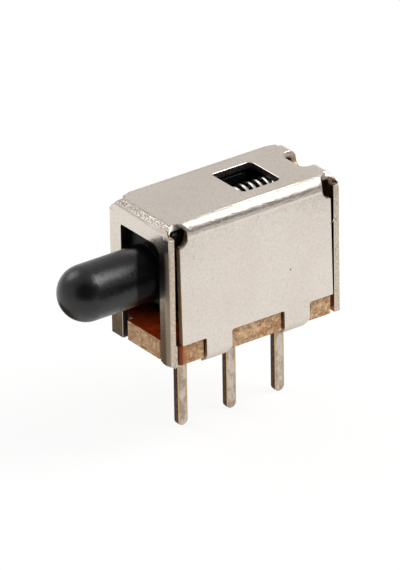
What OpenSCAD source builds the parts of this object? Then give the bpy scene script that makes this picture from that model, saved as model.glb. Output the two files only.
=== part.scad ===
// Miniature push-button switch: folded steel shell over a phenolic terminal board.
// X is the width, -Y is where the plunger points, +Z is up.
// The origin is the middle terminal's axis at the circuit board's surface.

/* [Shell] */
// Outside length over the front and rear flaps
shell_len = 8.7; // [8.4:0.1:9.4]
// Outside width across the top
shell_w = 4.3; // [4.1:0.1:4.8]
// Distance of the flaps' sides in from the sides of the top
flap_inset = 0.075; // [0.03:0.005:0.15]
// Outside height above the terminal board's underside
shell_h = 6.3; // [6.2:0.1:7.0]
// Thickness of the sheet
sheet = 0.3; // [0.2:0.02:0.34]
// Inside radius of the bends
bend_r = 0.12; // [0.06:0.02:0.2]
// Outward lean of the side plates, in degrees
splay = 1.5; // [0:0.25:2]
// How far the shell's middle lies ahead of the middle terminal
shell_ahead = 0.1; // [0:0.05:0.2]
// Gap between each flap and the side plates' ends
flap_slot = 0.2; // [0.1:0.02:0.3]
// Radius of the four corner reliefs
relief_r = 0.47; // [0.35:0.02:0.5]
// Slanting bite out of a flap's upper corner
flap_bite = 0.52; // [0.3:0.02:0.56]

/* [Front flap] */
// Width of the opening between the two legs
open_w = 2.65; // [2.5:0.05:2.9]
// Height of the opening above the board's underside
open_h = 5.28; // [5:0.04:5.5]
// Sideways offset of the opening
open_x = 0.04; // [0:0.01:0.06]
// Radius of the opening's upper near corner
open_r = 0.45; // [0.1:0.05:0.6]
// Radius of the opening's upper far corner
open_far_r = 0.1; // [0.05:0.05:0.6]
// Depth of the crushed corner at the end of the near leg
stake_h = 0.34; // [0.2:0.02:0.5]

/* [Window and rear notch] */
// Window's size along the shell
window_l = 2.0; // [1.2:0.1:2.4]
// Window's size across the shell
window_w = 2.13; // [1.2:0.01:2.4]
// Distance of the window's middle behind the middle terminal
window_y = 1.04; // [0.8:0.02:1.2]
// Radius of the window's corners
window_r = 0.26; // [0.1:0.02:0.5]
// Radius of the window's far front corner, where the punch is worn least
window_far_r = 0.08; // [0.04:0.02:0.5]
// Width of the rear notch
notch_w = 1.62; // [1.2:0.02:2]
// Radius of the rear notch's inner corners
notch_r = 0.36; // [0.1:0.02:0.5]
// Rear notch's reach along the top
notch_l = 0.88; // [0.6:0.02:1.2]
// Rear notch's reach down the flap
notch_drop = 0.74; // [0.6:0.02:1.2]

/* [Side plate tabs] */
// Distance between the middles of the two tabs
tab_pitch = 3.98; // [3.8:0.02:4.1]
// Width of a tab
tab_w = 1.3; // [1:0.05:1.4]
// Width of a tab's free end
tab_end_w = 1.02; // [0.7:0.02:1.1]
// Height of the side plates' lower edge above the board's underside
plate_lift = 0.93; // [0.93:0.01:1.1]
// Angle that a tab's end is curled under
curl = 60; // [40:5:65]
// Straight run at the end of a curl
curl_end = 0.3; // [0.1:0.02:0.36]

/* [Terminal board] */
// Thickness of the board
board_t = 0.92; // [0.8:0.01:0.92]
// Height of the board's underside above the circuit board
stand_off = 0.3; // [0.28:0.01:0.4]
// Gap between the tongue and each leg
tongue_gap = 0.195; // [0.14:0.005:0.3]
// Depth of the tongue's end behind the front flap's outer face
tongue_in = 0.1; // [0:0.02:0.25]
// Distance that the lugs stand out past the sides of the top
lug_out = 0; // [-0.04:0.01:0.1]

/* [Terminals] */
// Distance between neighbouring terminals
pitch = 2.5; // [2.5:0.02:2.54]
// Width of a terminal
pin_w = 0.5; // [0.4:0.02:0.6]
// Thickness of a terminal
pin_t = 0.3; // [0.24:0.02:0.36]
// Length of a terminal below the board's underside
pin_l = 4.06; // [2.8:0.02:5]
// Width of a terminal's contact blade above the board
blade_w = 0.8; // [0.6:0.05:0.9]
// Height of the contact blade above the board
blade_h = 1.2; // [1:0.05:1.25]

/* [Plunger] */
// Diameter of the stem
stem_d = 2.42; // [2:0.02:2.44]
// Length of the stem in front of the shell, nose included
stem_out = 3.93; // [3:0.05:5]
// Height of the stem's axis above the board's underside
stem_z = 3.5; // [3.45:0.05:3.6]
// Travel of the plunger
travel = 2.2; // [1.5:0.1:2.2]
// Sliding gap between the slider block and the shell
slide_gap = 0.06; // [0.02:0.01:0.08]

/* [Contact clip] */
// Thickness of the clip's bronze strip
clip_t = 0.1; // [0.08:0.01:0.12]
// Length of the clip
clip_l = 3.2; // [3.1:0.05:3.3]
// Gap between a leaf and the terminal that it wipes
wipe_gap = 0.01; // [0.01:0.005:0.02]

/* [Return spring] */
// Outside diameter of the spring
spring_d = 1.8; // [1.4:0.05:1.85]
// Diameter of the wire
wire_d = 0.16; // [0.12:0.01:0.17]
// Number of open coils
open_coils = 12; // [8:1:12]

/* [Hidden] */
$fn = 64;
eps = 0.01;
far = 20;

// Shell, from the circuit board's surface up
bend_out = bend_r + sheet;
shell_top = stand_off + shell_h;
shell_in = shell_top - sheet;
front_y = -shell_len / 2 - shell_ahead;
rear_y = shell_len / 2 - shell_ahead;
plate_front = front_y + sheet + flap_slot;
plate_rear = rear_y - sheet - flap_slot;
plate_l = plate_rear - plate_front;
plate_mid = (plate_front + plate_rear) / 2;
plate_end = stand_off + plate_lift;
inner_w = shell_w - 2 * sheet;
flap_w = shell_w - 2 * flap_inset;
fold_lap = 0.2;
relief_y = 0.45;
relief_out = 0.04;
relief_drop = 0.5;
relief_z = shell_top - relief_drop;
leg_end = stand_off + 0.03;
rear_flap_end = stand_off - 0.05;
near_leg_end = stand_off - 0.03;
// Near leg's end: its round, the strip that staking spread inwards, and the crushed corner
leg_round = 0.25;
spread_w = 0.24;
spread_in = 0.06;
spread_t = 0.08;
spread_low = 0.07;
spread_h = 1;
spread_r = 0.15;
crush_r = 0.17;
crush_x = 0.05;
crush_y = 0.02;
notch_x = -0.06;
edge_r = 0.1;
// The curl starts above the board's underside, and its end rests on the circuit board
curl_lean = curl - splay;
curl_start = bend_out * sin(curl_lean) + curl_end * cos(curl_lean);
curl_x = shell_w / 2 - bend_out + (shell_top - bend_out - curl_start) * tan(splay);
curl_in = bend_r - 0.02 - (curl_start - stand_off) * sin(curl_lean);
tab_slant_top = stand_off + 0.22;
tab_slant_low = stand_off - 0.12;

// Board
board_top = stand_off + board_t;
fit_gap = 0.02;
stop_gap = 0.04;
board_side = min(inner_w / 2 - fit_gap, curl_x + curl_in / cos(curl_lean));
board_front = front_y + sheet + spread_t;
tongue_w = open_w - 2 * tongue_gap;
lug_w = shell_w + 2 * lug_out;
lug_r = 0.06;
board_rear = rear_y - sheet - fit_gap;
lug_gap = 0.06;
lug_front = plate_front - 0.08;
lug_rear = plate_rear - 0.04;

// Terminals
pin_slot = 0.01;
blade_top = board_top + blade_h;

// Slider block
stem_r = stem_d / 2;
axis_z = stand_off + stem_z;
block_half = inner_w / 2 - slide_gap;
block_front = front_y + sheet + stop_gap;
block_rear = rear_y - sheet - fit_gap - travel;
block_low = blade_top + 0.22;
block_top = shell_in - slide_gap;
block_edge = bend_r + 0.04;
nose_y = front_y - stem_out + stem_r;

// Contact carrier under the block, which bridges the front and middle terminals at rest
clip_y = -travel / 2;
carrier_wall = 0.22;
carrier_half = clip_l / 2 + carrier_wall + fit_gap;
carrier_low = board_top + 0.05;
pocket_half_w = 0.66;
pocket_top = blade_top + 0.4;
blade_slot = pin_t / 2 + 0.12;
post_r = 0.22;
post_head_r = 0.34;
post_head_t = 0.08;

// Contact clip
web_z = pocket_top - clip_t - eps;
web_half = pocket_half_w - fit_gap;
wipe_z = board_top + 0.75;
flare_z = board_top + 0.3;
finger_gap = 0.3;
lead_in = 0.05;

// Return spring, in a pocket that is open at the top and the rear
spring_r = (spring_d - wire_d) / 2;
spring_z = shell_in - 0.05 - spring_d / 2;
pocket_r = 0.98;
pocket_front = -0.9;
spring_front = pocket_front + fit_gap;
spring_rear = rear_y - sheet - fit_gap;
coil_sides = 16;
wire_sides = 8;
turns = open_coils + 2;
coil_phase = 0;

// A ring's sector between two angles, measured from +X
module sector(r_in, r_out, from, to) {
  difference() {
    intersection() {
      circle(r_out);
      polygon([[0, 0],
        [2 * r_out * cos(from), 2 * r_out * sin(from)],
        [3 * r_out * cos((from + to) / 2), 3 * r_out * sin((from + to) / 2)],
        [2 * r_out * cos(to), 2 * r_out * sin(to)]]);
    }
    circle(r_in);
  }
}

// An outline in X and Z, drawn along Y from one place to another
module along_y(from, to) {
  translate([0, to, 0]) rotate([90, 0, 0]) linear_extrude(to - from) children();
}

// An outline in Y and Z, drawn along X from one place to another
module along_x(from, to) {
  translate([from, 0, 0]) rotate([90, 0, 90]) linear_extrude(to - from) children();
}

// A rectangle between two corners with round corners
module round_rect(low, high, r) {
  translate([low[0] + r, low[1]]) square([high[0] - low[0] - 2 * r, high[1] - low[1]]);
  translate([low[0], low[1] + r]) square([high[0] - low[0], high[1] - low[1] - 2 * r]);
  for (x = [low[0] + r, high[0] - r]) {
    for (y = [low[1] + r, high[1] - r]) {
      translate([x, y]) circle(r);
    }
  }
}

module box(low, high) {
  translate(low) cube(high - low);
}

// Long bend, side plate and curled end, at the right-hand side
module side_profile() {
  plate_run = (shell_top - bend_out - curl_start) / cos(splay);
  translate([shell_w / 2 - bend_out, shell_top - bend_out]) {
    sector(bend_r, bend_out, splay, 90);
    translate([-fold_lap, bend_r]) square([fold_lap, sheet]);
    rotate(splay) {
      translate([bend_r, -plate_run]) square([sheet, plate_run]);
      translate([0, -plate_run]) {
        sector(bend_r, bend_out, -curl, 0);
        rotate(-curl) translate([bend_r, -curl_end]) square([sheet, curl_end]);
      }
    }
  }
}

// What is cut away below a side plate: the notches round its two tabs
module tab_notches() {
  tab_side = tab_w / 2;
  slant = tab_w - tab_end_w;
  low = -far;
  middles = [plate_mid - tab_pitch / 2, plate_mid + tab_pitch / 2];
  round_rect([-far, low], [middles[0] - tab_side, plate_end], edge_r);
  round_rect([middles[0] + tab_side, low], [middles[1] - tab_side, plate_end], edge_r);
  round_rect([middles[1] + tab_side, low], [far, plate_end], edge_r);
  for (y = middles) {
    translate([y + tab_side, 0]) {
      polygon([[eps, tab_slant_top], [-slant, tab_slant_low], [-slant, low], [eps, low]]);
    }
  }
}

// Front or rear flap with its bend, as an outline in Y and Z
module flap_profile(end_z) {
  translate([bend_out, shell_top - bend_out]) sector(bend_r, bend_out, 90, 180);
  translate([0, end_z]) square([sheet, shell_top - bend_out - end_z]);
  translate([bend_out, shell_in]) square([fold_lap, sheet]);
}

// Slanting bite out of a flap's upper corner, clear of the side plate behind it
module corner_bite() {
  side = flap_w / 2;
  along_y(-sheet, relief_y) {
    polygon([[side - flap_bite, shell_top], [side, shell_top - flap_bite],
      [far, shell_top - flap_bite], [far, far], [side - flap_bite, far]]);
  }
}

module corner_relief() {
  translate([shell_w / 2 + relief_out, relief_y, relief_z]) cylinder(h = far, r = relief_r);
  intersection() {
    translate([shell_w / 2 - bend_out, relief_y, relief_z]) {
      rotate([0, 90, 0]) cylinder(h = far, r = relief_r);
    }
    box([0, sheet, 0], [far, far, far]);
  }
}

module front_opening() {
  half = open_w / 2;
  top = stand_off + open_h;
  along_y(front_y - sheet, front_y + sheet + eps) {
    translate([open_x, 0]) {
      translate([-half, 0]) square([half, top - open_far_r]);
      translate([-half + open_far_r, 0]) square([half - open_far_r, top]);
      translate([-half + open_far_r, top - open_far_r]) circle(open_far_r);
      square([half, top - open_r]);
      square([half - open_r, top]);
      translate([half - open_r, top - open_r]) circle(open_r);
    }
  }
}

// The near leg runs lower than the far one, round-ended, with its front corner crushed
module near_leg_end() {
  leg_x = open_x + open_w / 2;
  side = flap_w / 2;
  difference() {
    union() {
      along_y(front_y, front_y + sheet) {
        translate([leg_x, near_leg_end + leg_round]) square([side - leg_x, 2 * leg_round]);
        translate([leg_x + leg_round, near_leg_end + leg_round]) circle(leg_round);
        translate([leg_x + leg_round, near_leg_end]) {
          square([side - leg_x - leg_round, 2 * leg_round]);
        }
      }
      along_x(side - spread_w, side) {
        round_rect([front_y + spread_in, near_leg_end - spread_low],
          [front_y + sheet + spread_t, near_leg_end + spread_h], spread_r);
      }
    }
    translate([side - crush_x, front_y + crush_y, near_leg_end + stake_h - crush_r]) {
      translate([0, 0, -far]) cylinder(h = far, r = crush_r);
      sphere(crush_r);
    }
  }
}

// The rear notch spans the bend, with round corners at both ends
module notch_outline(reach) {
  half = notch_w / 2;
  translate([-half, -sheet]) square([notch_w, sheet + reach - notch_r]);
  translate([notch_r - half, 0]) square([notch_w - 2 * notch_r, reach]);
  for (x = [notch_r - half, half - notch_r]) {
    translate([x, reach - notch_r]) circle(notch_r);
  }
}

module rear_notch() {
  translate([notch_x, rear_y, shell_in - eps]) {
    mirror([0, 1, 0]) linear_extrude(2 * sheet) notch_outline(notch_l);
  }
  translate([notch_x, rear_y - sheet - eps, shell_top]) {
    rotate([-90, 0, 0]) linear_extrude(2 * sheet) notch_outline(notch_drop);
  }
  box([notch_x - notch_w / 2, rear_y - bend_out, shell_top - bend_out],
    [notch_x + notch_w / 2, far, far]);
}

// The window's far front corner is sharper than the other three
module window_outline() {
  half_w = window_w / 2;
  half_l = window_l / 2;
  round_rect([-half_w, -half_l], [half_w, half_l], window_r);
  round_rect([-half_w, -half_l], [-half_w + 3 * window_far_r, 0], window_far_r);
  round_rect([-half_w, -half_l], [0, -half_l + 3 * window_far_r], window_far_r);
}

module shell() {
  mid = shell_w / 2 - bend_out;
  color("silver") difference() {
    union() {
      box([-mid, front_y + bend_out, shell_in], [mid, rear_y - bend_out, shell_top]);
      difference() {
        along_y(plate_front, plate_rear) {
          side_profile();
          mirror([1, 0]) side_profile();
        }
        along_x(-far, far) tab_notches();
      }
      translate([0, front_y, 0]) along_x(-flap_w / 2, flap_w / 2) flap_profile(leg_end);
      translate([0, rear_y, 0]) mirror([0, 1, 0]) {
        along_x(-flap_w / 2, flap_w / 2) flap_profile(rear_flap_end);
      }
      near_leg_end();
    }
    for (side = [0, 1]) mirror([side, 0, 0]) {
      translate([0, front_y, 0]) corner_relief();
      translate([0, rear_y, 0]) mirror([0, 1, 0]) {
        corner_relief();
        corner_bite();
      }
    }
    translate([0, front_y, 0]) mirror([1, 0, 0]) corner_bite();
    front_opening();
    rear_notch();
    translate([0, window_y, shell_in - eps]) linear_extrude(2 * sheet) window_outline();
  }
}

// Board seen from above: body, tongue and the lugs in the side plates' notches
module board_outline() {
  half = lug_w / 2;
  tab_near = tab_w / 2 + lug_gap;
  front_tab = plate_mid - tab_pitch / 2;
  rear_tab = plate_mid + tab_pitch / 2;
  translate([-board_side, board_front]) square([2 * board_side, board_rear - board_front]);
  translate([open_x - tongue_w / 2, front_y + tongue_in]) square([tongue_w, 1]);
  round_rect([-half, lug_front], [half, front_tab - tab_near], lug_r);
  round_rect([-half, front_tab + tab_near], [half, rear_tab - tab_near], lug_r);
  round_rect([-half, rear_tab + tab_near], [half, lug_rear], lug_r);
}

module terminal_board() {
  color("peru") difference() {
    translate([0, 0, stand_off]) linear_extrude(board_t) board_outline();
    for (y = [-pitch, 0, pitch]) {
      box([-pin_t / 2 - pin_slot, y - pin_w / 2 - pin_slot, 0],
        [pin_t / 2 + pin_slot, y + pin_w / 2 + pin_slot, board_top + 1]);
    }
  }
}

// Flat blade: round tip below, shoulders on the board, round-cornered contact above
module terminal(y) {
  tip = stand_off - pin_l;
  color("gainsboro") translate([0, y, 0]) along_x(-pin_t / 2, pin_t / 2) {
    translate([0, tip + pin_w / 2]) circle(pin_w / 2);
    translate([-pin_w / 2, tip + pin_w / 2]) square([pin_w, board_top - tip - pin_w / 2 + 0.1]);
    round_rect([-blade_w / 2, board_top], [blade_w / 2, blade_top], 0.15);
    translate([-blade_w / 2, board_top]) square([blade_w, 0.3]);
  }
}

module front_terminal() {
  terminal(-pitch);
}

module middle_terminal() {
  terminal(0);
}

module rear_terminal() {
  terminal(pitch);
}

// Slider block, chamfered along its top to pass inside the shell's bends
module slider_block() {
  e = block_edge;
  intersection() {
    along_y(block_front, block_rear) {
      polygon([[-block_half, block_low], [block_half, block_low],
        [block_half, block_top - e], [block_half - e, block_top],
        [-block_half + e, block_top], [-block_half, block_top - e]]);
    }
    along_x(-block_half, block_half) {
      polygon([[block_front, block_low], [block_rear, block_low],
        [block_rear, block_top - e], [block_rear - e, block_top],
        [block_front + e, block_top], [block_front, block_top - e]]);
    }
  }
}

module plunger() {
  color("dimgray") difference() {
    union() {
      slider_block();
      box([-block_half, clip_y - carrier_half, carrier_low],
        [block_half, clip_y + carrier_half, block_low + 0.1]);
      translate([0, block_front + 0.1, axis_z]) rotate([90, 0, 0]) {
        cylinder(h = block_front + 0.1 - nose_y, r = stem_r);
      }
      translate([0, nose_y, axis_z]) sphere(stem_r);
    }
    // Spring pocket
    translate([0, far + pocket_front, spring_z]) rotate([90, 0, 0]) cylinder(h = far, r = pocket_r);
    box([-pocket_r, pocket_front, spring_z], [pocket_r, far, far]);
    // Clip pocket and the slot that clears the terminals
    difference() {
      box([-pocket_half_w, clip_y - clip_l / 2 - fit_gap, 0],
        [pocket_half_w, clip_y + clip_l / 2 + fit_gap, pocket_top]);
      clip_post();
    }
    box([-blade_slot, -far, 0], [blade_slot, far, blade_top + 0.12]);
  }
}

// Post moulded in the pocket's roof and headed over under the clip's web
module clip_post() {
  head_top = web_z - eps;
  translate([0, clip_y, head_top]) cylinder(h = 1, r = post_r);
  translate([0, clip_y, head_top - post_head_t]) cylinder(h = post_head_t, r = post_head_r);
}

// Leaf of the clip at the right: in to its wiping bend and out again
module clip_leaf() {
  t = clip_t;
  x_wipe = pin_t / 2 + wipe_gap;
  x_flare = x_wipe + 0.14;
  knee = web_z - 0.12;
  polygon([[web_half, web_z + t], [web_half, knee],
    [x_wipe + t, wipe_z], [x_flare + t, flare_z],
    [x_flare, flare_z], [x_wipe, wipe_z - 0.08], [x_wipe, wipe_z + 0.08],
    [web_half - t, knee + 0.02], [web_half - t, web_z + t]]);
}

module contact_clip() {
  ends = clip_l / 2;
  x_wipe = pin_t / 2 + wipe_gap;
  color("goldenrod") translate([0, clip_y, 0]) difference() {
    union() {
      box([-web_half, -ends, web_z], [web_half, ends, web_z + clip_t]);
      along_y(-ends, ends) {
        clip_leaf();
        mirror([1, 0]) clip_leaf();
      }
    }
    translate([0, 0, web_z - 1]) cylinder(h = 2, r = post_r + fit_gap);
    box([-far, -finger_gap / 2, 0], [far, finger_gap / 2, web_z - 0.2]);
    // Coined lead-in at each end of the leaves
    for (side = [0, 1]) mirror([0, side, 0]) linear_extrude(web_z - 0.2) {
      polygon([[-x_wipe, ends - 0.35], [x_wipe, ends - 0.35],
        [x_wipe + lead_in, ends + eps], [-x_wipe - lead_in, ends + eps]]);
    }
  }
}

// Distance along the spring after a number of turns: one closed coil at each end
function coil_y(turn) =
  turn < 1 ? turn * wire_d :
  turn > turns - 1 ? spring_rear - spring_front - wire_d - (turns - turn) * wire_d :
  wire_d + (turn - 1) * (spring_rear - spring_front - 3 * wire_d) / open_coils;

function coil_point(i, j) =
  let (
    turn = i / coil_sides,
    r = spring_r + wire_d / 2 * cos(360 * j / wire_sides),
    y = spring_front + wire_d / 2 + coil_y(turn) + wire_d / 2 * sin(360 * j / wire_sides)
  )
  [r * cos(360 * turn + coil_phase), y, spring_z + r * sin(360 * turn + coil_phase)];

module return_spring() {
  rings = turns * coil_sides;
  points = [for (i = [0:rings]) for (j = [0:wire_sides - 1]) coil_point(i, j)];
  sides = [for (i = [0:rings - 1]) for (j = [0:wire_sides - 1])
    let (k = (j + 1) % wire_sides)
    [i * wire_sides + j, i * wire_sides + k, (i + 1) * wire_sides + k, (i + 1) * wire_sides + j]];
  first = [for (j = [wire_sides - 1:-1:0]) j];
  last = [for (j = [0:wire_sides - 1]) rings * wire_sides + j];
  color("lightgray") polyhedron(points, concat([first, last], sides), convexity = 10);
}

shell();
terminal_board();
front_terminal();
middle_terminal();
rear_terminal();
plunger();
contact_clip();
return_spring();
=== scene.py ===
import math

import bmesh
import bpy
from mathutils import Matrix, Vector
from mathutils.bvhtree import BVHTree

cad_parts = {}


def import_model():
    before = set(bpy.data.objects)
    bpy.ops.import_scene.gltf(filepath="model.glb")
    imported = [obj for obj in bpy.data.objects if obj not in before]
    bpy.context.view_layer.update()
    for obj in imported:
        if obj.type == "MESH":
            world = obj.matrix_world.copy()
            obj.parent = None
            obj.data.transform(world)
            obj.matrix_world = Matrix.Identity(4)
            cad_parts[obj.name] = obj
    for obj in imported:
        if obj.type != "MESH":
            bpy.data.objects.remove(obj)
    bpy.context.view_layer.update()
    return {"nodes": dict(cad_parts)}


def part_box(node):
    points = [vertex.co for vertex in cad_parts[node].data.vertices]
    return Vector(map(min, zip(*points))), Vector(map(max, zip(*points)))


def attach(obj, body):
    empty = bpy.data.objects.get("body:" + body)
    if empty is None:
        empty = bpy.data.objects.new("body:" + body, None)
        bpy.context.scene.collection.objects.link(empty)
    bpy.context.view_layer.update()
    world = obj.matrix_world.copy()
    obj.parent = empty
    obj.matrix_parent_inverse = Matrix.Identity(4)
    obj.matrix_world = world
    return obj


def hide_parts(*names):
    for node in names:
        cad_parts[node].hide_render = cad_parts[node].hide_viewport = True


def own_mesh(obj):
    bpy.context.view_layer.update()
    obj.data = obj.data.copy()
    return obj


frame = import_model()

# Lengths are in mm, and become metres only on the way to Blender
MM = 0.001

# The part's own planes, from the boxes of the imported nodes: the board's underside, the shell's top and ends
shell_low, shell_high = [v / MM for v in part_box("shell")]
board_low, _ = [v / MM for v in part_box("terminal_board")]
pin_low, _ = [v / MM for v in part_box("middle_terminal")]
spring_low, spring_high = [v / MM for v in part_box("return_spring")]
SEAT = board_low.z
TOP = shell_high.z
FRONT = shell_low.y
REAR = shell_high.y
# Thickness of the shell's sheet, and spacing of the terminals
SHEET = 0.3
PIN_PITCH = 2.5


# ---------------------------------------------------------------- materials

class Nodes:
    """A node tree. Numbers go on the sockets, and sockets are linked."""

    def __init__(self, tree):
        self.tree = tree
        self.tree.nodes.clear()

    def add(self, kind, values=None, **props):
        n = self.tree.nodes.new(kind)
        for key, value in props.items():
            setattr(n, key, value)
        for key, value in (values or {}).items():
            if isinstance(value, bpy.types.NodeSocket):
                self.tree.links.new(value, n.inputs[key])
            else:
                n.inputs[key].default_value = value
        return n

    def math(self, op, a, b=0.0, clamp=False):
        return self.add("ShaderNodeMath", {0: a, 1: b}, operation=op, use_clamp=clamp).outputs[0]

    def times(self, first, *others):
        """The product of masks."""
        for other in others:
            first = self.math("MULTIPLY", first, other)
        return first

    def most(self, first, *others):
        """The strongest of several masks."""
        for other in others:
            first = self.math("MAXIMUM", first, other)
        return first

    def size(self, value):
        """A value without its sign."""
        return self.math("ABSOLUTE", value)

    def rest(self, mask):
        """What a mask leaves over."""
        return self.math("SUBTRACT", 1.0, mask)

    def axis(self, vector, letter):
        return self.add("ShaderNodeSeparateXYZ", {0: vector}).outputs["XYZ".index(letter)]

    def ramp(self, value, low, high, to_low=0.0, to_high=1.0, smooth=True):
        """From to_low at low to to_high at high, and level beyond them."""
        kind = "SMOOTHSTEP" if smooth else "LINEAR"
        return self.add("ShaderNodeMapRange", {0: value, 1: low, 2: high, 3: to_low, 4: to_high},
                        interpolation_type=kind, clamp=True).outputs[0]

    def fall(self, value, low, high):
        """1 up to low, 0 from high."""
        return self.ramp(value, low, high, 1.0, 0.0)

    def band(self, value, low, high, soft):
        """1 between low and high, 0 outside, over a soft edge."""
        return self.times(self.ramp(value, low - soft, low + soft),
                          self.fall(value, high - soft, high + soft))

    def mix(self, share, a, b):
        """Colour a, or colour b where share is 1."""
        n = self.add("ShaderNodeMix", {0: share}, data_type="RGBA")
        for key, value in ((6, a), (7, b)):
            if isinstance(value, bpy.types.NodeSocket):
                self.tree.links.new(value, n.inputs[key])
            else:
                n.inputs[key].default_value = (*value, 1.0)
        return n.outputs[2]


class Shader(Nodes):
    """One node material, drawn in the part's own frame."""

    def __init__(self, name):
        self.mat = bpy.data.materials.new(name)
        self.mat.use_nodes = True
        super().__init__(self.mat.node_tree)
        self.out = self.add("ShaderNodeOutputMaterial")
        coords = self.add("ShaderNodeTexCoord")
        self.place = self.add("ShaderNodeVectorMath", {0: coords.outputs["Object"], "Scale": 1 / MM},
                              operation="SCALE").outputs[0]
        self.normal = coords.outputs["Normal"]

    def coords(self, letters="XYZ"):
        return [self.axis(self.place, letter) for letter in letters]

    def shifted(self, shift, stretch=(1, 1, 1)):
        return self.add("ShaderNodeMapping", {0: self.place, "Location": (shift, shift, shift),
                                              "Scale": stretch}).outputs[0]

    def noise(self, scale, detail=3.0, rough=0.55, stretch=(1, 1, 1), shift=0.0):
        return self.add("ShaderNodeTexNoise", {"Vector": self.shifted(shift, stretch), "Scale": scale,
                                               "Detail": detail, "Roughness": rough}).outputs[0]

    def gap(self, at):
        """Distance to one place."""
        return self.add("ShaderNodeVectorMath", {0: self.place, 1: tuple(at)},
                        operation="DISTANCE").outputs["Value"]

    def spot(self, at, radius, soft=0.4):
        """1 within radius of one place."""
        return self.fall(self.gap(at), radius * (1 - soft), radius * (1 + soft))

    def specks(self, scale, size, share, shift=0.0):
        """Small round marks, in a share of the cells: 1 inside a mark."""
        cell = self.add("ShaderNodeTexVoronoi", {"Vector": self.shifted(shift), "Scale": scale})
        mark = self.fall(cell.outputs[0], size * 0.5, size)
        chance = self.axis(cell.outputs[1], "X")
        return self.times(mark, self.math("LESS_THAN", chance, share))

    def bump(self, height, distance, below=None):
        values = {"Height": height, "Distance": distance * MM, "Strength": 1.0}
        if below:
            values["Normal"] = below
        return self.add("ShaderNodeBump", values).outputs[0]

    def surface(self, output):
        self.tree.links.new(output, self.out.inputs[0])
        return self.mat

    def finish(self, **sockets):
        names = {"base": "Base Color", "rough": "Roughness", "metal": "Metallic", "normal": "Normal",
                 "coat": "Coat Weight", "coat_rough": "Coat Roughness", "spec": "Specular IOR Level"}
        values = {names[key]: value for key, value in sockets.items()}
        return self.surface(self.add("ShaderNodeBsdfPrincipled", values).outputs[0])


def inward(s, x, y, z):
    """1 on the faces that look into the shell."""
    nx, ny, nz = (s.axis(s.normal, c) for c in "XYZ")
    sides = s.fall(s.times(nx, x), -1.2, -0.9)
    ends = s.fall(s.times(ny, y), -2.6, -2.0)
    roof = s.times(s.fall(nz, -0.7, -0.5), s.ramp(z, TOP - 0.5, TOP - 0.45))
    return s.most(sides, ends, roof)


def nickel():
    """Satin nickel plate, grained and pitted, crazed on the front bend and drawn along the long ones."""
    bright, clouded, grained, speckled = ((0.755, 0.688, 0.622), (0.725, 0.655, 0.588),
                                          (0.50, 0.45, 0.40), (0.46, 0.41, 0.36))
    pitted, crazed, curl_shade = (0.16, 0.13, 0.10), (0.30, 0.27, 0.21), (0.30, 0.23, 0.17)
    leg_shade, shaded, stained = (0.36, 0.275, 0.18), (0.03, 0.024, 0.02), (0.42, 0.22, 0.09)
    s = Shader("nickel_plate")
    x, y, z = s.coords()
    out = s.size(x)
    cloud = s.noise(0.45, 4.0, shift=3.0)
    grain = s.noise(9.0, 4.0, 0.7)
    fine = s.noise(26.0, 2.0, 0.6, shift=7.0)
    base = s.mix(s.ramp(cloud, 0.35, 0.65), bright, clouded)
    base = s.mix(s.ramp(grain, 0.42, 0.72, 0.0, 0.32), base, grained)
    base = s.mix(s.ramp(fine, 0.54, 0.72, 0.0, 0.6), base, speckled)
    # Pits where the plating missed: place along the near plate, height over the board's underside, and radius
    plate_x = 2.2
    seen_pits = ((1.588, 2.745, 0.05), (-1.872, 1.943, 0.045), (-3.854, 1.176, 0.05), (0.022, 1.014, 0.035))
    pits = s.most(*(s.spot((plate_x, along, SEAT + up), radius) for along, up, radius in seen_pits),
                  s.specks(1.3, 0.03, 0.35), s.specks(3.1, 0.04, 0.12, 5.0))
    base = s.mix(s.times(pits, 0.75), base, pitted)
    # The bend over the front flap was drawn hard: its plating is crazed
    bend = s.times(s.band(y, FRONT + 0.02, FRONT + 0.36, 0.05), s.ramp(z, TOP - 0.25, TOP - 0.15))
    craze = s.times(bend, s.noise(16.0, 3.0, 0.65, stretch=(0.7, 1.0, 1.0), shift=1.0))
    base = s.mix(s.ramp(craze, 0.46, 0.56, 0.0, 0.85), base, crazed)
    # The long bends are drawn too, so the reflections along them break up
    long_bend = s.times(s.ramp(out, 1.70, 1.80), s.ramp(z, TOP - 0.65, TOP - 0.5))
    drawn = s.times(long_bend, s.noise(9.0, 4.0, 0.7, shift=11.0))
    # Painted shade: the tabs' curls are painted darker and browner towards the bottom
    curl = s.times(s.ramp(out, 1.8, 1.9), s.ramp(z, SEAT - 0.25, SEAT + 0.3, 0.6, 0.0))
    base = s.mix(curl, base, curl_shade)
    # Painted shade: the inner faces are painted near black, and the rear flap's is stained brown
    inner = inward(s, x, y, z)
    base = s.mix(inner, base, shaded)
    stain = s.times(s.ramp(z, SEAT + 0.8, SEAT + 1.5, 1.0, 0.4), s.ramp(y, REAR - 0.5, REAR - 0.4))
    base = s.mix(s.times(stain, inner), base, stained)
    # Painted shade: the near leg's front is painted darker and browner towards its outer edge, below its top
    leg = s.times(s.ramp(x, 1.45, 2.0), s.fall(y, FRONT + 0.02, FRONT + 0.06),
                  s.fall(z, TOP - 1.3, TOP - 0.7))
    base = s.mix(s.times(leg, 0.85), base, leg_shade)
    rough = s.ramp(s.noise(4.0, 3.0, shift=5.0), 0.3, 0.7, 0.15, 0.20)
    rough = s.most(rough, s.times(long_bend, 0.21), s.times(bend, 0.24), s.times(leg, 0.5))
    height = s.bump(s.noise(2.2, 3.0), 0.0010)
    for mark, depth in ((grain, 0.0032), (craze, 0.048), (drawn, 0.032), (pits, -0.01)):
        height = s.bump(mark, depth, height)
    return s.finish(base=base, rough=rough, metal=1.0, normal=height)


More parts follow.
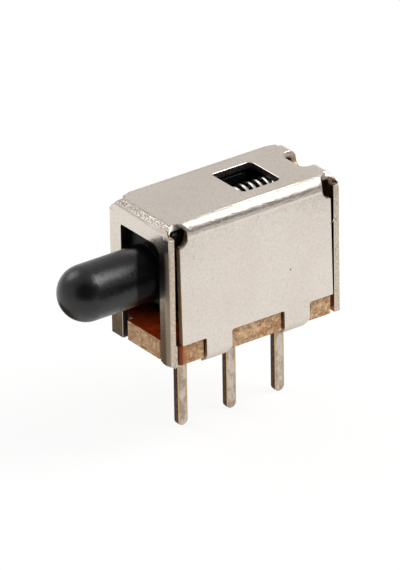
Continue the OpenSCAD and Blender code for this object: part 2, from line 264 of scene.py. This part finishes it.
def cut_steel():
    """Sheared edge of the sheet: plated on the flaps' sides, browned in the slots, painted black as shade in
    the openings, with painted light on the plates' front edges, the top and the near relief.
    """
    brown, umber, dirt = (0.46, 0.33, 0.20), (0.20, 0.12, 0.065), (0.09, 0.046, 0.026)
    lit_amber, grey, dark_grey = (0.75, 0.47, 0.22), (0.60, 0.56, 0.50), (0.26, 0.22, 0.18)
    tan, dull_tan, scratched = (0.68, 0.60, 0.51), (0.47, 0.38, 0.285), (0.22, 0.16, 0.11)
    painted_glare, shade_black, shade_grainy = (0.95, 0.93, 0.90), (0.012, 0.009, 0.008), (0.07, 0.052, 0.04)
    s = Shader("cut_edge")
    x, y, z = s.coords()
    out = s.size(x)
    tear = s.noise(5.0, 4.0, 0.7, shift=2.0)
    stain = s.noise(1.4, 3.0, 0.6, shift=9.0)
    grain = s.noise(12.0, 4.0, 0.7, shift=5.0)
    base = s.mix(s.ramp(tear, 0.38, 0.62), brown, umber)
    base = s.mix(s.ramp(stain, 0.5, 0.7, 0.0, 0.75), base, dirt)
    # Front edges of the side plates, their own amber painted brighter as painted light where they lie in
    # shade; and the reliefs and the notch at the top, lighter grey, partly their own grey and partly painted
    # light
    slot = s.times(s.band(y, FRONT + 0.4, FRONT + 0.6, 0.04), s.ramp(out, 1.7, 1.8))
    base = s.mix(s.times(slot, 0.8), base, lit_amber)
    base = s.mix(s.ramp(z, TOP - 0.35, TOP - 0.2), base, s.mix(s.ramp(tear, 0.40, 0.60), grey, dark_grey))
    # Outer sides of the flaps
    facing = s.ramp(s.size(s.axis(s.normal, "X")), 0.7, 0.9)
    on_flap = s.most(s.fall(y, FRONT + SHEET + 0.02, FRONT + SHEET + 0.06),
                     s.ramp(y, REAR - SHEET - 0.06, REAR - SHEET - 0.02))
    plated = s.times(facing, on_flap, s.ramp(out, 1.85, 1.9))
    side = s.mix(s.ramp(grain, 0.36, 0.64), tan, dull_tan)
    side = s.mix(s.ramp(tear, 0.56, 0.68, 0.0, 0.7), side, scratched)
    base = s.mix(plated, base, side)
    # Painted shade: inside the window and the front opening the cut faces are painted near black
    window = s.times(s.fall(out, 1.10, 1.14), s.band(y, -0.02, 2.10, 0.02), s.ramp(z, TOP - 0.4, TOP - 0.38))
    opening = s.times(s.fall(out, 1.40, 1.44), s.fall(y, FRONT + 0.35, FRONT + 0.4))
    inside = s.most(window, opening)
    base = s.mix(inside, base, s.mix(s.ramp(grain, 0.5, 0.75), shade_black, shade_grainy))
    # Painted highlight: the near front relief is painted near white where it meets the flap
    glint = s.spot((1.78, FRONT + 0.26, TOP - 0.13), 0.24, 0.3)
    base = s.mix(glint, base, painted_glare)
    metal = s.times(s.ramp(inside, 0.0, 1.0, 0.8, 0.2), s.rest(glint))
    rough = s.ramp(plated, 0.0, 1.0, 0.42, 0.28)
    height = s.bump(grain, 0.005, s.bump(tear, 0.014))
    return s.finish(base=base, rough=rough, metal=metal, normal=height)


def phenolic():
    """Paper laminate: glossy orange-brown face, mottled fibrous punched edge."""
    bark, straw, rusty = (0.24, 0.11, 0.040), (0.53, 0.34, 0.18), (0.36, 0.13, 0.035)
    golden, pale, charred = (0.70, 0.48, 0.25), (0.80, 0.64, 0.44), (0.075, 0.03, 0.010)
    orange, red, shaded = (0.60, 0.075, 0.008), (0.36, 0.034, 0.005), (0.09, 0.016, 0.006)
    soaked, resinous = (0.36, 0.095, 0.018), (0.17, 0.030, 0.006)
    s = Shader("phenolic")
    x, y = s.coords("XY")
    face = s.ramp(s.axis(s.normal, "Z"), 0.6, 0.85)
    fibre = s.noise(4.5, 5.0, 0.75, stretch=(1.0, 1.0, 1.6))
    blot = s.noise(1.5, 3.0, 0.6, shift=4.0)
    crumb = s.noise(9.0, 3.0, 0.7, shift=6.0)
    edge = s.mix(s.ramp(fibre, 0.34, 0.66), bark, straw)
    edge = s.mix(s.ramp(blot, 0.48, 0.66, 0.0, 0.75), edge, rusty)
    edge = s.mix(s.ramp(s.noise(2.6, 3.0, 0.6, shift=14.0), 0.50, 0.64, 0.0, 0.6), edge, golden)
    edge = s.mix(s.ramp(crumb, 0.56, 0.70, 0.0, 0.8), edge, pale)
    edge = s.mix(s.ramp(crumb, 0.28, 0.42, 0.75, 0.0), edge, charred)
    flat = s.mix(s.ramp(blot, 0.35, 0.65), orange, red)
    # Painted shade: the face is painted darker towards the far side
    flat = s.mix(s.ramp(x, -1.5, 0.3, 0.7, 0.0), flat, shaded)
    # The near front lug's end broke clean and shows the resin, which soaked in beside it
    lug = s.ramp(x, 1.5, 1.6)
    resin = s.times(lug, s.fall(y, FRONT + 0.52, FRONT + 0.62))
    ragged_y = s.math("ADD", y, s.times(blot, 0.5))
    soak = s.times(lug, s.ramp(ragged_y, FRONT + 0.75, FRONT + 1.2, 0.9, 0.0))
    base = s.mix(face, edge, flat)
    base = s.mix(soak, base, soaked)
    base = s.mix(s.times(resin, 0.9), base, resinous)
    punched = s.rest(face)
    height = s.bump(s.times(crumb, punched), 0.018, s.bump(s.times(fibre, punched), 0.045))
    return s.finish(base=base, rough=s.ramp(face, 0.0, 1.0, 0.55, 0.14), normal=height,
                    coat=s.times(face, 0.25), coat_rough=0.15, spec=s.ramp(resin, 0.0, 1.0, 0.5, 0.2))


def tinned():
    """Dull tin over brass, with the sheared sides bare and brown and painted near black as shade."""
    tin, smeared = (0.62, 0.55, 0.475), (0.37, 0.295, 0.225)
    bright, pitted = (0.72, 0.69, 0.65), (0.27, 0.225, 0.17)
    brass, shaded_bare, brown = (0.60, 0.37, 0.18), (0.022, 0.013, 0.009), (0.12, 0.065, 0.034)
    s = Shader("tinned_brass")
    sheared = s.ramp(s.size(s.axis(s.normal, "Y")), 0.55, 0.85)
    smear = s.noise(1.7, 4.0, 0.65, stretch=(1.0, 1.6, 0.9))
    grain = s.noise(8.0, 4.0, 0.7, shift=3.0)
    face = s.mix(s.ramp(smear, 0.42, 0.60), tin, smeared)
    face = s.mix(s.ramp(grain, 0.54, 0.76, 0.0, 0.6), face, bright)
    face = s.mix(s.ramp(grain, 0.26, 0.42, 0.5, 0.0), face, pitted)
    # Brass shows along the edges of the wide faces
    off_centre = s.math("PINGPONG", s.axis(s.place, "Y"), PIN_PITCH / 2)
    rim = s.times(s.ramp(off_centre, 0.145, 0.215), s.ramp(grain, 0.3, 0.5, 0.4, 0.95))
    face = s.mix(rim, face, brass)
    # The sheared sides are their own bare brown, partly painted near black as painted shade
    base = s.mix(sheared, face, s.mix(s.ramp(grain, 0.40, 0.64), shaded_bare, brown))
    height = s.bump(grain, 0.012, s.bump(smear, 0.02))
    return s.finish(base=base, rough=s.ramp(grain, 0.3, 0.7, 0.34, 0.52), normal=height,
                    metal=s.ramp(sheared, 0.0, 1.0, 0.9, 0.2), spec=s.ramp(sheared, 0.0, 1.0, 0.5, 0.12))


def black_plastic():
    """Satin black moulding with a trace of the mould's texture; the block inside and the stem's end by the
    flap have their gloss turned down as painted shade.
    """
    black, dusty, fleck = (0.0018, 0.0018, 0.0021), (0.0034, 0.0032, 0.0032), (0.06, 0.057, 0.054)
    s = Shader("black_plastic")
    x, y = s.coords("XY")
    # Painted shade: the stem's gloss is turned down next to the flap too, for longer at its sides
    back = s.math("ADD", y, s.times(s.size(x), 0.725))
    dull = s.ramp(back, FRONT - 0.25, FRONT - 0.01)
    base = s.mix(s.ramp(s.noise(0.9, 4.0, 0.6), 0.3, 0.7), black, dusty)
    base = s.mix(s.specks(2.2, 0.03, 0.2, 2.0), base, fleck)
    rough = s.ramp(s.noise(2.5, 4.0, 0.65, shift=8.0), 0.3, 0.7, 0.22, 0.28)
    height = s.bump(s.noise(8.0, 3.0, 0.7), 0.013, s.bump(s.noise(1.6, 3.0), 0.008))
    return s.finish(base=base, rough=rough, normal=height, spec=s.ramp(dull, 0.0, 1.0, 0.48, 0.10))


def bronze():
    """Rolled bronze strip, its lines along the clip."""
    s = Shader("bronze_strip")
    roll = s.noise(3.0, 4.0, 0.6, stretch=(1.0, 0.1, 1.0))
    base = s.mix(s.ramp(roll, 0.3, 0.7), (0.80, 0.55, 0.27), (0.58, 0.36, 0.15))
    return s.finish(base=base, rough=s.ramp(roll, 0.3, 0.7, 0.2, 0.34), metal=1.0,
                    normal=s.bump(roll, 0.003))


def spring_wire():
    """Bright drawn steel wire."""
    s = Shader("spring_wire")
    draw = s.noise(7.0, 3.0, 0.6)
    base = s.mix(s.ramp(draw, 0.35, 0.7), (0.83, 0.81, 0.78), (0.55, 0.51, 0.46))
    return s.finish(base=base, rough=s.ramp(draw, 0.3, 0.7, 0.14, 0.28), metal=1.0,
                    normal=s.bump(draw, 0.004))


MATS = {
    "nickel_plate": nickel(),
    "cut_edge": cut_steel(),
    "phenolic": phenolic(),
    "tinned_brass": tinned(),
    "black_plastic": black_plastic(),
    "bronze": bronze(),
    "spring_wire": spring_wire(),
}


# ------------------------------------------------------------------- pieces

# Width of a rounded edge, on the thin clip less, and the share of it past which a corner has strayed
EDGE_ROUND = 0.03
CLIP_ROUND = 0.015
ROUND_SEGMENTS = 2
STRAY = 0.7
# Angles in degrees: flatter joins are dissolved, sharper ones rounded, and sharper ones shaded as edges
FLAT_JOIN, SHARP_EDGE, SHADED_EDGE = 0.6, 38, 40
# Vertices this near are one, and slivers this thin go
SAME_PLACE, SLIVER = 0.0002, 0.008
# A face with more metal than this behind it was cut
CUT_DEPTH = 0.42
# The necks of metal beside the relief holes: where they are, to each side and below the top
NECK_X, NECK_HALF, NECK_DROP = 1.73, 0.06, 0.6


def smooth_by_area(obj):
    """Smooth shading that leaves the flat faces flat."""
    obj.data.shade_smooth()
    obj.data.set_sharp_from_angle(angle=math.radians(SHADED_EDGE))
    m = obj.modifiers.new("normals", "WEIGHTED_NORMAL")
    m.keep_sharp = True
    m.weight = 100


def mark_cut_faces(bm):
    """Second material on the cut faces, told by a ray from the middle of each one's largest triangle."""
    skin = 0.004
    tree = BVHTree.FromBMesh(bm)
    widest = {}
    for corners in bm.calc_loop_triangles():
        a, b, c = (loop.vert.co for loop in corners)
        area = (b - a).cross(c - a).length
        face = corners[0].face
        if area > widest.get(face, (0,))[0]:
            widest[face] = (area, (a + b + c) / 3)
    for face, (_, middle) in widest.items():
        hit = tree.ray_cast(middle - face.normal * skin * MM, -face.normal)
        face.material_index = int(hit[3] is None or hit[3] > CUT_DEPTH * MM)


def on_neck(v):
    """True where a relief hole leaves a neck of metal thinner than a rounded edge."""
    return abs(abs(v.co.x / MM) - NECK_X) < NECK_HALF and v.co.z / MM > TOP - NECK_DROP


def round_edges(bm, bevel):
    """Rounds the sharp edges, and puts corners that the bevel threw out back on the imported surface."""
    packed = BVHTree.FromBMesh(bm)
    sharp = [e for e in bm.edges if e.is_manifold and e.calc_face_angle() > math.radians(SHARP_EDGE)
             and not any(on_neck(v) for v in e.verts)]
    bmesh.ops.bevel(bm, geom=sharp, offset=bevel * MM, offset_type="OFFSET", segments=ROUND_SEGMENTS,
                    profile=0.5, affect="EDGES", clamp_overlap=False, miter_outer="SHARP")
    for v in bm.verts:
        place, _, _, gap = packed.find_nearest(v.co)
        if gap > STRAY * bevel * MM:
            v.co = place


def new_object(name, mesh):
    obj = bpy.data.objects.new(name, mesh)
    bpy.context.scene.collection.objects.link(obj)
    return obj


def dress(node, body, slots, bevel=EDGE_ROUND):
    """The node with its flat faces whole and its edges rounded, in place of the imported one."""
    bm = bmesh.new()
    bm.from_mesh(frame["nodes"][node].data)
    bmesh.ops.remove_doubles(bm, verts=bm.verts, dist=SAME_PLACE * MM)
    bmesh.ops.dissolve_limit(bm, angle_limit=math.radians(FLAT_JOIN), verts=bm.verts, edges=bm.edges,
                             use_dissolve_boundaries=False)
    bmesh.ops.dissolve_degenerate(bm, dist=SLIVER * MM, edges=bm.edges)
    bm.normal_update()
    if "cut_edge" in slots:
        mark_cut_faces(bm)
    round_edges(bm, bevel)
    mesh = bpy.data.meshes.new(node + "_dressed")
    bm.to_mesh(mesh)
    bm.free()
    for name in slots:
        mesh.materials.append(MATS[name])
    obj = new_object(node + "_dressed", mesh)
    smooth_by_area(obj)
    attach(obj, body)
    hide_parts(node)


dress("shell", "case", ["nickel_plate", "cut_edge"])
dress("terminal_board", "case", ["phenolic"])
for pin in ("front_terminal", "middle_terminal", "rear_terminal"):
    dress(pin, "case", ["tinned_brass"])
dress("plunger", "slider", ["black_plastic"])
dress("contact_clip", "slider", ["bronze"], CLIP_ROUND)


def tube(name, points, radius, sides, mat):
    """A round tube along a list of points."""
    bm = bmesh.new()
    rings = []
    side = None
    for i, p in enumerate(points):
        ahead = points[min(i + 1, len(points) - 1)] - points[max(i - 1, 0)]
        ahead.normalize()
        if side is None:
            side = ahead.orthogonal().normalized()
        side = (side - ahead * side.dot(ahead)).normalized()
        other = ahead.cross(side)
        rings.append([bm.verts.new((p + (side * math.cos(a) + other * math.sin(a)) * radius) * MM)
                      for a in (2 * math.pi * k / sides for k in range(sides))])
    for a, b in zip(rings, rings[1:]):
        for k in range(sides):
            n = (k + 1) % sides
            bm.faces.new((a[k], a[n], b[n], b[k]))
    bm.faces.new(list(reversed(rings[0])))
    bm.faces.new(rings[-1])
    bmesh.ops.recalc_face_normals(bm, faces=bm.faces)
    mesh = bpy.data.meshes.new(name)
    bm.to_mesh(mesh)
    bm.free()
    mesh.shade_smooth()
    mesh.materials.append(mat)
    return new_object(name, mesh)


# A whisker of metal across the rear slot
WHISKER = ((2.17, 3.62, 4.42), (2.20, 3.70, 4.48), (2.21, 3.80, 4.57), (2.18, 3.93, 4.64))
WHISKER_R = 0.012
whisker = tube("burr_whisker", [Vector(p) for p in WHISKER], WHISKER_R, 6, MATS["nickel_plate"])
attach(whisker, "case")

# Return spring: one closed coil at each end, open coils between
WIRE = 0.16
OPEN_COILS = 12


def spring_points():
    per_turn = 40
    turns = OPEN_COILS + 2
    centre = (spring_low + spring_high) / 2
    r = (spring_high.x - spring_low.x - WIRE) / 2
    start, end = spring_low.y + WIRE / 2, spring_high.y - WIRE / 2
    pitch = (end - start - 2 * WIRE) / OPEN_COILS
    points = []
    for i in range(turns * per_turn + 1):
        t = i / per_turn
        if t < 1:
            y = start + t * WIRE
        elif t > turns - 1:
            y = end - (turns - t) * WIRE
        else:
            y = start + WIRE + (t - 1) * pitch
        a = 2 * math.pi * t
        points.append(Vector((r * math.cos(a), y, centre.z + r * math.sin(a))))
    return points


spring = tube("return_spring_coil", spring_points(), WIRE / 2, 12, MATS["spring_wire"])
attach(spring, "case")
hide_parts("return_spring")
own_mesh(spring)


# -------------------------------------------------------------------- stage

X_AXIS, Y_AXIS, Z_AXIS = (1, 0, 0), (0, 1, 0), (0, 0, 1)
# Height of the part's middle, which the lights look at
AIM = Vector((0, 0, 3))
# The floor lies under the terminals' tips, and the card on it over it, by this much
CLEAR = 0.005


def plane(name, centre, right, up, width, height, mat):
    """A flat card round a centre."""
    c, r, u = Vector(centre), Vector(right).normalized(), Vector(up).normalized()
    corners = [c + r * a * width / 2 + u * b * height / 2 for a, b in ((-1, -1), (1, -1), (1, 1), (-1, 1))]
    mesh = bpy.data.meshes.new(name)
    mesh.from_pydata([v * MM for v in corners], [], [(0, 1, 2, 3)])
    mesh.materials.append(mat)
    obj = new_object(name, mesh)
    return obj


def floor_material(colour, whiten):
    """Pale matt surface, whitened by a share where it is seen directly or in gloss, so it keeps shadows."""
    s = Shader("floor")
    path = s.add("ShaderNodeLightPath").outputs
    tone = s.mix(s.ramp(s.noise(0.02, 2.0), 0.3, 0.7), colour, tuple(c * 0.99 for c in colour))
    matt = s.add("ShaderNodeBsdfDiffuse", {"Color": tone})
    white = s.add("ShaderNodeEmission", {"Color": (1, 1, 1, 1), "Strength": 1.0})
    seen = s.math("ADD", path["Is Camera Ray"],
                  s.math("ADD", path["Is Glossy Ray"], path["Is Transmission Ray"]), clamp=True)
    mixed = s.add("ShaderNodeMixShader", {0: s.times(seen, whiten), 1: matt.outputs[0], 2: white.outputs[0]})
    return s.surface(mixed.outputs[0])


plane("floor", (0, 0, pin_low.z - CLEAR), X_AXIS, Y_AXIS, 3000, 3000,
      floor_material((0.90, 0.895, 0.885), 0.86))


def dark_card(name, centre, right, up, width, height, shade, fade=None):
    """A dark card round a centre, seen only in the metal and the glossy plastic.

    With fade, two radii, the card turns as light as the room between them.
    """
    room = (0.62, 0.61, 0.60)
    s = Shader(name)
    colour = s.mix(s.ramp(s.gap(centre), *fade), shade, room) if fade else (*shade, 1)
    glow = s.add("ShaderNodeEmission", {"Color": colour, "Strength": 1.0})
    card = plane(name, centre, right, up, width, height, s.surface(glow.outputs[0]))
    for flag in ("visible_camera", "visible_diffuse", "visible_shadow", "visible_transmission",
                 "visible_volume_scatter"):
        setattr(card, flag, False)


# The room behind the photo's camera is dark: the card stands square to that camera's line of sight
CAMERA_SIDE = Vector((0.723, -0.522, 0.452))
dark_card("dark_room", CAMERA_SIDE * 62 + AIM, (0.585, 0.811, 0), (-0.366, 0.264, 0.892), 140, 130,
          (0.075, 0.075, 0.08), fade=(36, 66))

# Two cards beside the near plate: one draws the line under the long bend, one darkens the stem's end
PLATE_CARD_RIGHT = (0.530, -0.848, 0)
dark_card("flag_right", (11.87, 7.42, 4.8), PLATE_CARD_RIGHT, Z_AXIS, 19, 6.0, (0.02, 0.017, 0.015))
dark_card("flag_stem", (15.85, 1.06, 4.5), PLATE_CARD_RIGHT, Z_AXIS, 5.8, 10.5, (0.02, 0.02, 0.022))

# Painted shadow: one dark card on the floor, seen only in gloss, stands for the part's shadow and darkens the
# legs' lower fronts
dark_card("painted_floor_shadow", (-7.25, -9.25, pin_low.z + CLEAR), X_AXIS, Y_AXIS, 12.5, 10.5, (0.13, 0.10, 0.065),
          fade=(3.6, 5.4))


def toward(azimuth, elevation):
    """The direction from the part: azimuth 0 is ahead of the plunger, and 90 is out from the near plate."""
    return Vector((math.sin(azimuth) * math.cos(elevation), -math.cos(azimuth) * math.cos(elevation),
                   math.sin(elevation)))


def softbox(name, azimuth, elevation, width, height, radiance, colour):
    """An area light that looks at the part, its brightness given as it is seen."""
    distance = 200
    out = toward(math.radians(azimuth), math.radians(elevation))
    data = bpy.data.lights.new(name, "AREA")
    data.shape = "RECTANGLE"
    data.size, data.size_y = width * MM, height * MM
    data.energy = radiance * math.pi * width * height * MM * MM
    data.color = colour
    obj = new_object(name, data)
    obj.location = (out * distance + AIM) * MM
    obj.rotation_mode = "QUATERNION"
    obj.rotation_quaternion = out.to_track_quat("Z", "Y")


softbox("softbox_back", 150, 46, 112, 104, 7.6, (1.0, 0.99, 0.975))
softbox("softbox_left", -68, 43, 104, 104, 2.6, (0.97, 0.985, 1.0))


def world():
    """A warm grey room, a little dimmer overhead than at the walls, which the camera sees white."""
    walls, overhead = 0.84, 0.66
    warm, white = (1.0, 0.98, 0.965), (1.0, 1.0, 1.0)
    w = bpy.data.worlds.new("studio")
    bpy.context.scene.world = w
    w.use_nodes = True
    n = Nodes(w.node_tree)
    camera = n.add("ShaderNodeLightPath").outputs["Is Camera Ray"]
    up = n.axis(n.add("ShaderNodeTexCoord").outputs["Generated"], "Z")
    room = n.ramp(up, 0.0, 1.0, walls, overhead, smooth=False)
    strength = n.add("ShaderNodeMix", {0: camera, 2: room, 3: 1.0}, data_type="FLOAT").outputs[0]
    back = n.add("ShaderNodeBackground", {"Color": n.mix(camera, warm, white), "Strength": strength})
    n.add("ShaderNodeOutputWorld", {0: back.outputs[0]})


world()


# ------------------------------------------------------------------- camera

def photo_camera():
    """The camera of the photograph, from a fit of the switch's edges."""
    azimuth, elevation, roll = (math.radians(d) for d in (54.196, 26.879, -0.953))
    distance, off_right, off_up = 330.401, 1.045, 1.203
    target = Vector((0, -0.1, SEAT + 3.0))
    # The image's height and the focal length are in pixels
    image_height, focal, sensor = 570, 8000, 36.0
    back = toward(azimuth, elevation)
    level = Vector((math.cos(azimuth), math.sin(azimuth), 0))
    rise = back.cross(level)
    right = level * math.cos(roll) + rise * math.sin(roll)
    up = rise * math.cos(roll) - level * math.sin(roll)
    place = target + back * distance - right * off_right - up * off_up
    data = bpy.data.cameras.new("photo")
    data.sensor_width = sensor
    data.sensor_fit = "AUTO"
    data.lens = focal * sensor / image_height
    data.clip_start, data.clip_end = 0.01, 10
    obj = new_object("photo", data)
    turn = Matrix((right, up, back)).transposed()
    obj.matrix_world = Matrix.Translation(place * MM) @ turn.to_4x4()
    bpy.context.scene.camera = obj


photo_camera()
bpy.context.scene.view_settings.view_transform = "Standard"

bpy.context.view_layer.update()
